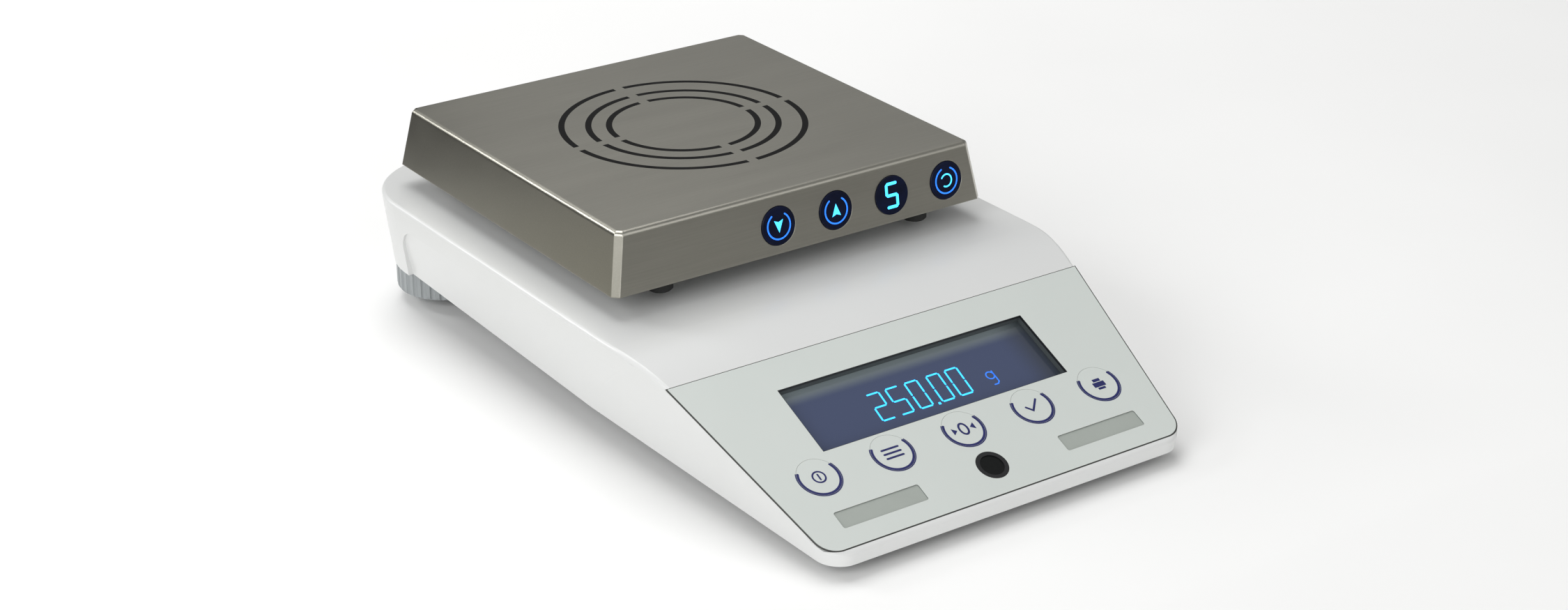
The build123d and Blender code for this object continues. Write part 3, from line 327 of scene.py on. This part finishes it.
def printedFoil():
    look = Look("printedFoil", Coat_Weight=0.1, Coat_Roughness=0.25)
    cloud = look.noise(20, detail=2)
    colour = look.mix(cloud, panelLook["foil"], panelLook["foilShade"])
    # Painted shade on the cut edges: black on the walls inside the display opening and grey on every other
    # cut edge
    across = look.along(panel.right).size()
    down = look.along(-panel.up, panel.origin)
    inWidth = across.below(display["halfWidth"] + 0.0002, 0.0001)
    inHeight = down.above(display["top"] - 0.0002, 0.0001) * down.below(display["bottom"] + 0.0002, 0.0001)
    facing = look.add("ShaderNodeNewGeometry", output="Normal")
    dot = {"operation": "DOT_PRODUCT"}
    flat = look.add("ShaderNodeVectorMath", dot, {0: facing, 1: panel.outward}, output="Value")
    shadedEdges = look.mix(flat.above(0.8, 0.1), panelLook["paintedEdgeShade"], colour)
    look.feed("Base Color", look.mix(inWidth * inHeight, shadedEdges, panelLook["edge"]))
    look.feed("Roughness", look.spread(cloud, panelLook["roughness"] - 0.04, panelLook["roughness"] + 0.04))
    look.bump(look.noise(2200, detail=2), 0.15, 0.00005)
    return look


foil = printedFoil()
dress(foil, "keypad_overlay", *["key_%d" % number for number in range(1, 6)])


plate = {
    "halfTop": 0.1056, "taper": 0.1535, "length": 0.0969, "corner": 0.009, "gap": 0.0007,
    # The last four entries are the painted shadow in the gap: its tones, depth and thickness
    "gapShadow": shade("4a4a48"), "gapShadowDark": shade("3c3c3a"), "gapShadowDepth": 0.0003, "gapShadowThickness": 0.00005,
}


# A dark tone with random variation, painted as the shadow in the gap around the panel plate
def paintedGapShadow():
    look = Look("paintedGapShadow", Roughness=0.7)
    look.feed("Base Color", look.mix(look.noise(80), plate["gapShadow"], plate["gapShadowDark"]))
    return look


def roundedCorner(before, corner, after, radius, steps=10):
    # Points of an arc that rounds one corner of a line
    before, corner, after = Vector(before), Vector(corner), Vector(after)
    back = (before - corner).normalized()
    ahead = (after - corner).normalized()
    half = back.angle(ahead) / 2
    middle = corner + (back + ahead).normalized() * radius / sin(half)
    first = corner + back * radius / tan(half) - middle
    last = corner + ahead * radius / tan(half) - middle
    return [middle + first.lerp(last, k / steps).normalized() * radius for k in range(steps + 1)]


def paintGapShadow():
    # Painted shadow: a dark strip laid in the gap between the panel plate and the housing
    out = plate["gap"] / 2
    top = -out / 2
    low = -plate["length"] - out
    halfTop = plate["halfTop"] + out
    halfLow = plate["halfTop"] - plate["taper"] * plate["length"] + out
    corners = [(-halfTop, top), (-halfLow, low), (halfLow, low), (halfTop, top)]
    path = [Vector((0, top)), Vector(corners[0])]
    path += roundedCorner(*corners[0:3], plate["corner"] + out)
    path += roundedCorner(*corners[1:4], plate["corner"] + out)
    path += [Vector(corners[3]), Vector((0, top))]
    marks = Marks("painted_gap_shadow", panel, -plate["gapShadowDepth"], plate["gapShadowThickness"])
    marks.stroke(path, plate["gap"] * 0.9, roundEnds=False)
    marks.build(paintedGapShadow(), "housing")


paintGapShadow()


def stripInsert():
    look = Look("stripInsert", Coat_Weight=0.3, Coat_Roughness=0.25)
    cloud = look.noise(90, detail=3)
    look.feed("Base Color", look.mix(cloud, panelLook["strip"], panelLook["stripShade"]))
    look.feed("Roughness", look.spread(cloud, 0.4, 0.55))
    look.bump(look.noise(1800), 0.2, 0.00005)
    return look


dress(stripInsert(), "label_strips")

# The top and right tones and their bands are painted shade of the display recess's walls
screenLook = {
    "face": shade("39435f"), "rim": shade("6c7679"), "side": shade("2b3034"), "glow": 0.16,
    "paintedSideFrom": 0.056, "paintedSideFade": 0.022, "rimHeight": 0.0045, "rimFade": 0.007,
}


def litScreen():
    look = Look("litScreen", Roughness=0.22, Coat_Weight=0.6, Coat_Roughness=0.05)
    across = look.along(panel.right)
    down = look.along(-panel.up, panel.origin)
    # Painted shade of the recess walls: paler towards the top and darker on the right, in both the base and
    # the emission colour
    right = across.above(screenLook["paintedSideFrom"], screenLook["paintedSideFade"])
    top = down.below(display["top"] + screenLook["rimHeight"], screenLook["rimFade"])
    colour = look.mix(right, look.mix(top, screenLook["face"], screenLook["rim"]), screenLook["side"])
    look.feed("Base Color", colour)
    look.feed("Emission Color", colour)
    look.shader.inputs["Emission Strength"].default_value = screenLook["glow"]
    return look


dress(litScreen(), "display_window", "display_module")


def plainGlow(name, colour, strength):
    look = Look(name, Roughness=0.4)
    tint = look.noise(60, detail=1)
    brighter = tuple(min(1.0, part * 1.25) for part in colour[:3]) + (1.0,)
    look.feed("Base Color", look.mix(tint, colour, brighter))
    look.feed("Emission Color", look.mix(tint, colour, brighter))
    look.shader.inputs["Emission Strength"].default_value = strength
    return look


digitGlow = plainGlow("digitGlow", shade("2fa6f2"), 1.35)
unitGlow = plainGlow("unitGlow", shade("2a6bd6"), 0.6)

# The lit strokes of a digit, a to g: top, upper right, lower right, bottom, lower left, upper left, middle
strokesLit = {"0": "abcdef", "2": "abged", "5": "afgcd"}
digitShape = {"width": 0.0062, "height": 0.0143, "line": 0.0008, "slant": 0.06, "gap": 0.0002}
reading = {
    "text": "25000", "lefts": (-0.0272, -0.0176, -0.0078, 0.0034, 0.0130), "bottom": -0.0440,
    "point": (0.0015, -0.0443), "pointSize": 0.0012,
    "unit": (0.0318, -0.0388), "unitRadius": 0.0019, "unitLine": 0.0006, "unitTail": 0.0051,
    "tailBend": 0.0011, "tailEnd": 0.0010,
}


def drawDigit(marks, character, left, bottom, shape):
    # Strokes of one seven-stroke digit
    width, height, gap = shape["width"], shape["height"], shape["gap"]
    ends = {
        "a": ((0, 1), (1, 1)), "b": ((1, 1), (1, 0.5)), "c": ((1, 0.5), (1, 0)), "d": ((0, 0), (1, 0)),
        "e": ((0, 0), (0, 0.5)), "f": ((0, 0.5), (0, 1)), "g": ((0, 0.5), (1, 0.5)),
    }
    for letter in strokesLit[character]:
        points = []
        for acrossShare, upShare in ends[letter]:
            points.append(Vector((left + acrossShare * width + shape["slant"] * upShare * height,
                                  bottom + upShare * height)))
        along = (points[1] - points[0]).normalized() * (gap + shape["line"] / 2)
        marks.stroke([points[0] + along, points[1] - along], shape["line"])


def displayReading():
    marks = Marks("display_digits", panel, -display["depth"], display["thickness"])
    for character, left in zip(reading["text"], reading["lefts"]):
        drawDigit(marks, character, left, reading["bottom"], digitShape)
    x, y = reading["point"]
    half = reading["pointSize"] / 2
    marks.outline([(x - half, y - half), (x + half, y - half), (x + half, y + half), (x - half, y + half)])
    marks.build(digitGlow, "housing")
    # The unit g: a small bowl with a tail
    unit = Marks("display_unit", panel, -display["depth"], display["thickness"])
    x, y = reading["unit"]
    radius, tail, bend = reading["unitRadius"], reading["unitTail"], reading["tailBend"]
    unit.arc((x, y), radius, reading["unitLine"], 0, 360, 24, roundEnds=False)
    unit.stroke([(x + radius, y + radius), (x + radius, y + bend - tail), (x + radius - bend, y - tail),
                 (x - reading["tailEnd"], y - tail)], reading["unitLine"])
    unit.build(unitGlow, "housing")


displayReading()

inkLook = {"navy": shade("161c66"), "navyShade": shade("10164f"), "thickness": 0.00004}


def printInk():
    look = Look("printInk", Roughness=0.5)
    cloud = look.noise(400, detail=2)
    look.feed("Base Color", look.mix(cloud, inkLook["navy"], inkLook["navyShade"]))
    return look


ink = printInk()
keyPlan = {
    "down": 0.062, "pitch": 0.036, "padRadius": 0.0093, "ringOuter": 0.00985, "ringInner": 0.0082,
    "gapEdge": 0.0001, "openLeft": 152, "openRight": 388, "signSize": 0.00125, "signLine": 0.00095,
    "arcSteps": 64,
}


def keyCentre(number):
    return ((number - 3) * keyPlan["pitch"], -keyPlan["down"])


def keySymbol(marks, number):
    # Plain signs, drawn in units of the sign size: power, menu, zero, tick and printer
    size = keyPlan["signSize"]
    line = keyPlan["signLine"]

    def at(a, b):
        x, y = keyCentre(number)
        return (x + size * a, y + size * b)

    if number == 1:
        marks.arc(at(0, 0), 2.2 * size, 0.8 * line, 0, 360, 28, roundEnds=False)
        marks.stroke([at(0, -1.1), at(0, 1.1)], 0.8 * line)
    elif number == 2:
        for step in (-1.8, 0, 1.8):
            marks.stroke([at(-3.2, step), at(3.2, step)], line)
    elif number == 3:
        marks.stroke([at(1.5 * cos(radians(a)), 2.3 * sin(radians(a))) for a in range(0, 361, 12)],
                     line, roundEnds=False)
        for side in (-1, 1):
            marks.outline([at(side * 2.6, 0), at(side * 4.4, 1.4), at(side * 4.4, -1.4)])
    elif number == 4:
        marks.stroke([at(-2.6, 0.2), at(-0.8, -1.8), at(2.8, 2.2)], line)
    else:
        marks.outline([at(-2.4, -1.2), at(2.4, -1.2), at(2.4, 0.8), at(-2.4, 0.8)])
        marks.outline([at(-1.5, 1.1), at(1.5, 1.1), at(1.5, 2.3), at(-1.5, 2.3)])
        marks.outline([at(-1.5, -2.4), at(1.5, -2.4), at(1.5, -1.5), at(-1.5, -1.5)])


def keyMarks():
    split = keyPlan["padRadius"]
    edge = keyPlan["gapEdge"]
    innerBand = (keyPlan["ringInner"] + split - edge / 2) / 2
    innerWidth = split - edge / 2 - keyPlan["ringInner"]
    outerBand = (keyPlan["ringOuter"] + split + 1.2 * edge) / 2
    outerWidth = keyPlan["ringOuter"] - split - 1.2 * edge
    rings = Marks("key_rings", panel, 0.0, inkLook["thickness"])
    for number in range(1, 6):
        centre = keyCentre(number)
        rings.arc(centre, outerBand, outerWidth, keyPlan["openLeft"], keyPlan["openRight"],
                  keyPlan["arcSteps"])
        marks = Marks("key_mark_%d" % number, panel, 0.0, inkLook["thickness"])
        marks.arc(centre, innerBand, innerWidth, keyPlan["openLeft"], keyPlan["openRight"],
                  keyPlan["arcSteps"])
        keySymbol(marks, number)
        marks.build(ink, "key_%d" % number)
    rings.build(ink, "housing")


keyMarks()


vialLook = {"dark": shade("070909"), "darkShade": shade("0d1010")}


def darkVial():
    look = Look("darkVial", Coat_Weight=0.05, Coat_Roughness=0.1)
    cloud = look.noise(900, detail=2)
    look.feed("Base Color", look.mix(cloud, vialLook["dark"], vialLook["darkShade"]))
    look.feed("Roughness", look.spread(cloud, 0.3, 0.42))
    look.shader.inputs["Specular IOR Level"].default_value = 0.2
    return look


dress(darkVial(), "level_vial")
print("panel dressed")


# Stirring pan

panLook = {
    "steel": shade("b7b5ab"), "steelShade": shade("a5a399"), "roughness": 0.31, "fold": 0.0006,
    "ring": shade("090909"), "ringRadii": (0.0334, 0.0427, 0.0547), "ringLine": 0.0029, "ringGap": 0.0045,
    "ringBack": 0.0015, "ringSoft": 0.0002,
}


def brushedSteel():
    look = Look("brushedSteel")
    fine = look.noise(1500, (0.02, 1.0, 1.0), detail=4, roughness=0.6)
    coarse = look.noise(70, (0.12, 1.0, 1.0), detail=2)
    steel = look.mix(fine, panLook["steel"], panLook["steelShade"])
    # Three broken rings printed on the top
    across = look.along((1, 0, 0))
    back = look.along((0, 1, 0), (0, panCentre.y + panLook["ringBack"], 0))
    radius = (across * across + back * back) ** 0.5
    soft = panLook["ringSoft"]
    lines = None
    for ringRadius in panLook["ringRadii"]:
        line = (radius - ringRadius).size().below(panLook["ringLine"] / 2, soft)
        lines = line if lines is None else lines.most(line)
    broken = across.size().least(back.size()).above(panLook["ringGap"] / 2, soft)
    upper = look.along((0, 0, 1)).above(panCentre.z - 0.0005, soft)
    printed = lines * broken * upper
    look.feed("Base Color", look.mix(printed, steel, panLook["ring"]))
    look.feed("Metallic", 1.0 - printed)
    # The folds are sharp in the mesh, so their shading is rounded
    satin = look.spread(coarse, panLook["roughness"] - 0.03, panLook["roughness"] + 0.03)
    look.feed("Roughness", satin + printed * 0.25)
    look.shader.inputs["Specular IOR Level"].default_value = 0.1
    folded = look.add("ShaderNodeBevel", {"samples": 6}, {"Radius": panLook["fold"]}, "Normal")
    look.bump(fine * (1.0 - printed), 0.25, 0.00004, folded)
    return look


dress(brushedSteel(), "pan_hood")


def plainMetal(name, colour, darker, roughness, scale, stretch=(1, 1, 1)):
    look = Look(name, Metallic=1.0)
    cloud = look.noise(scale, stretch, detail=4)
    look.feed("Base Color", look.mix(cloud, colour, darker))
    look.feed("Roughness", look.spread(cloud, roughness - 0.08, roughness + 0.1))
    look.bump(cloud, 0.15, 0.00005)
    return look


plainSteel = plainMetal("plainSteel", shade("b4b4b2"), shade("9a9a98"), 0.35, 300, (0.1, 1, 1))
dress(plainSteel, "pan_bottom", "pan_screws", "stir_motor", "stir_yoke", "case_screws", "guide_screws",
      "cell_screws", "hook_cover_screw", "overload_spring", "lever_flexures", "coupling_band",
      "key_switches")


def discSprings():
    # The overload spring as a piece of its own, attached to the housing, with a mesh of its own
    spring = bpy.data.objects.new("disc_springs", nodes["overload_spring"].data.copy())
    bpy.context.scene.collection.objects.link(spring)
    spring.data.materials.clear()
    spring.data.materials.append(plainSteel.material)
    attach(spring, "housing")
    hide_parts("overload_spring")
    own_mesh(spring)


discSprings()
millMetal = plainMetal("milledAluminium", shade("cfd1d3"), shade("b9bcbf"), 0.4, 500, (0.05, 1, 1))
dress(millMetal, "cell_base", "lower_guide", "upper_guide", "load_receiver", "weigh_lever", "pan_carrier")
dress(plainMetal("turnedBrass", shade("c9a55a"), shade("a8863f"), 0.3, 400), "foot_bushes")
dress(plainMetal("woundCopper", shade("b9683c"), shade("8a4526"), 0.4, 900, (0.2, 0.2, 4)), "force_coil")
dress(plainMetal("platedMagnet", shade("c2c4c8"), shade("aeb0b4"), 0.18, 60), "stir_magnets", "magnet_pot")

boardLook = {"grey": shade("1d5a36"), "dark": shade("16492b"), "roughness": 0.35}
dress(mattMoulding("lacqueredBoard", boardLook), "main_board", "keypad_board", "stir_board")
wrapLook = {"grey": shade("27406e"), "dark": shade("20365e"), "roughness": 0.35}
dress(mattMoulding("shrinkWrap", wrapLook), "battery_pack")

buttonLook = {"black": shade("04050a"), "blue": shade("0a1538")}


def glossButton():
    look = Look("glossButton", Coat_Weight=0.08, Coat_Roughness=0.05)
    cloud = look.noise(150, detail=2)
    look.feed("Base Color", look.mix(cloud, buttonLook["black"], buttonLook["blue"]))
    look.feed("Roughness", look.spread(cloud, 0.35, 0.45))
    look.shader.inputs["Specular IOR Level"].default_value = 0.12
    return look


dress(glossButton(), "button_down", "button_up", "button_power", "speed_window")

controls = {
    "down": 0.0148, "first": -0.0131, "pitch": 0.030, "proud": 0.0005, "thickness": 0.00005,
    "ringRadius": 0.0058, "line": 0.0007, "signRadius": 0.0028, "arrowTip": 0.0030, "arrowHalf": 0.0023,
    "arrowFoot": 0.0026, "arrowNotch": 0.0017,
}
speedDigit = {"width": 0.0056, "height": 0.0105, "line": 0.0014, "slant": 0.0, "gap": -0.0001}
signGlow = plainGlow("signGlow", shade("3cb4f8"), 1.5)
ringGlow = plainGlow("ringGlow", shade("1b66d8"), 1.3)


def controlCentre(index):
    return (controls["first"] + index * controls["pitch"], -controls["down"])


def drawArrow(heading):
    # An arrow head that points up for 1 and down for -1
    def draw(marks, x, y):
        foot = y - heading * controls["arrowFoot"]
        marks.outline([
            (x, y + heading * controls["arrowTip"]), (x + controls["arrowHalf"], foot),
            (x, y - heading * controls["arrowNotch"]), (x - controls["arrowHalf"], foot),
        ])
    return draw


def drawFive(marks, x, y):
    drawDigit(marks, "5", x - speedDigit["width"] / 2, y - speedDigit["height"] / 2, speedDigit)


def drawPower(marks, x, y):
    marks.arc((x, y), controls["signRadius"], controls["line"], -120, 150)


def glowMarks(name, index, body, draw, ring):
    signs = Marks("sign_" + name, skirt, controls["proud"], controls["thickness"])
    draw(signs, *controlCentre(index))
    signs.build(signGlow, body)
    if ring:
        rings = Marks("ring_" + name, skirt, controls["proud"], controls["thickness"])
        rings.arc(controlCentre(index), controls["ringRadius"], controls["line"], *ring)
        rings.build(ringGlow, body)


glowMarks("down", 0, "button_down", drawArrow(-1), (125, 415))
glowMarks("up", 1, "button_up", drawArrow(1), (125, 415))
glowMarks("speed", 2, "stirring_pan", drawFive, None)
glowMarks("power", 3, "button_power", drawPower, (115, 425))
print("pan dressed")


# Floor, light and camera

studio = {
    "floor": shade("fafaf9"), "floorShade": shade("f0f0ef"), "floorSize": 8.0,
    "world": (0.5, 0.5, 0.5, 1.0), "worldStrength": 0.6, "aim": (0, 0.02, 0.04),
    # Square lamps: place, side and power
    "lights": [
        ("keyLight", (-1.9, -0.6, 1.0), 1.2, 22),
        ("frontLight", (0.7, -1.9, 1.2), 1.5, 7),
        ("lowLight", (-0.5, -2.05, 0.35), 0.8, 8),
        ("edgeLight", (-1.05, 1.65, 1.05), 0.5, 9),
        ("topLight", (0.1, 0.9, 2.0), 1.6, 27),
    ],
    # Cards that only polished surfaces see: middle, half its width, half its length, shade
    "flags": [
        ("backFlag", (-0.6, 0.72, 0.002), (0.42, 0, 0), (0, 0.36, 0), "1a1a19"),
        ("sideFlag", (-0.42, 0.14, 0.002), (0.28, 0, 0), (0, 0.18, 0), "a3a197"),
        ("cornerFlag", (-0.5, -0.3, 0.002), (0.25, 0, 0), (0, 0.2, 0), "d2d0c6"),
        ("leftFlag", (0.06, -0.42, 0.002), (0.12, 0, 0), (0, 0.16, 0), "1e1c19"),
        ("wallFlag", (-0.45, 1.0, 0.3), (0.8, 0, 0), (0, 0, 0.3), "1c1c1c"),
        ("frontFlag", (0.42, -0.62, 0.002), (0.5, 0, 0), (0, 0.36, 0), "3b3730"),
    ],
}


def buildFlag(name, middle, halfWidth, halfLength, tone):
    mesh = bmesh.new()
    corners = [mesh.verts.new(Vector(middle) + Vector(halfWidth) * a + Vector(halfLength) * b)
               for a, b in ((-1, -1), (1, -1), (1, 1), (-1, 1))]
    mesh.faces.new(corners)
    look = Look(name + "Cloth", Roughness=0.9)
    cloth = shade(tone)
    worn = tuple(channel * 0.8 for channel in cloth[:3]) + (1.0,)
    look.feed("Base Color", look.mix(look.noise(20), cloth, worn))
    flag = addPiece(name, mesh, look)
    flag.visible_camera = False
    flag.visible_diffuse = False
    flag.visible_shadow = False


def buildFloor():
    mesh = bmesh.new()
    bmesh.ops.create_grid(mesh, x_segments=1, y_segments=1, size=studio["floorSize"] / 2)
    look = Look("paleFloor", Roughness=0.8)
    look.feed("Base Color", look.mix(look.noise(3), studio["floor"], studio["floorShade"]))
    floor = addPiece("floor", mesh, look)


def addLight(name, place, size, power):
    data = bpy.data.lights.new(name, "AREA")
    data.shape = "SQUARE"
    data.size = size
    data.energy = power
    light = bpy.data.objects.new(name, data)
    light.location = place
    light.rotation_euler = (Vector(studio["aim"]) - Vector(place)).to_track_quat("-Z", "Y").to_euler()
    bpy.context.scene.collection.objects.link(light)


buildFloor()
for card in studio["flags"]:
    buildFlag(*card)
for name, place, size, power in studio["lights"]:
    addLight(name, place, size, power)
world = bpy.data.worlds.new("studioWorld")
world.use_nodes = True
world.node_tree.nodes["Background"].inputs["Color"].default_value = studio["world"]
world.node_tree.nodes["Background"].inputs["Strength"].default_value = studio["worldStrength"]
bpy.context.scene.world = world
bpy.context.scene.view_settings.view_transform = "Standard"

viewPoint = {"place": (-0.637, -0.923, 0.539), "target": (-0.003, -0.02, 0.036), "lens": 64}
cameraData = bpy.data.cameras.new("camera")
cameraData.lens = viewPoint["lens"]
cameraData.sensor_width = 36
camera = bpy.data.objects.new("camera", cameraData)
camera.location = viewPoint["place"]
aim = Vector(viewPoint["target"]) - Vector(viewPoint["place"])
camera.rotation_euler = aim.to_track_quat("-Z", "Y").to_euler()
bpy.context.scene.collection.objects.link(camera)
bpy.context.scene.camera = camera
print("studio ready")
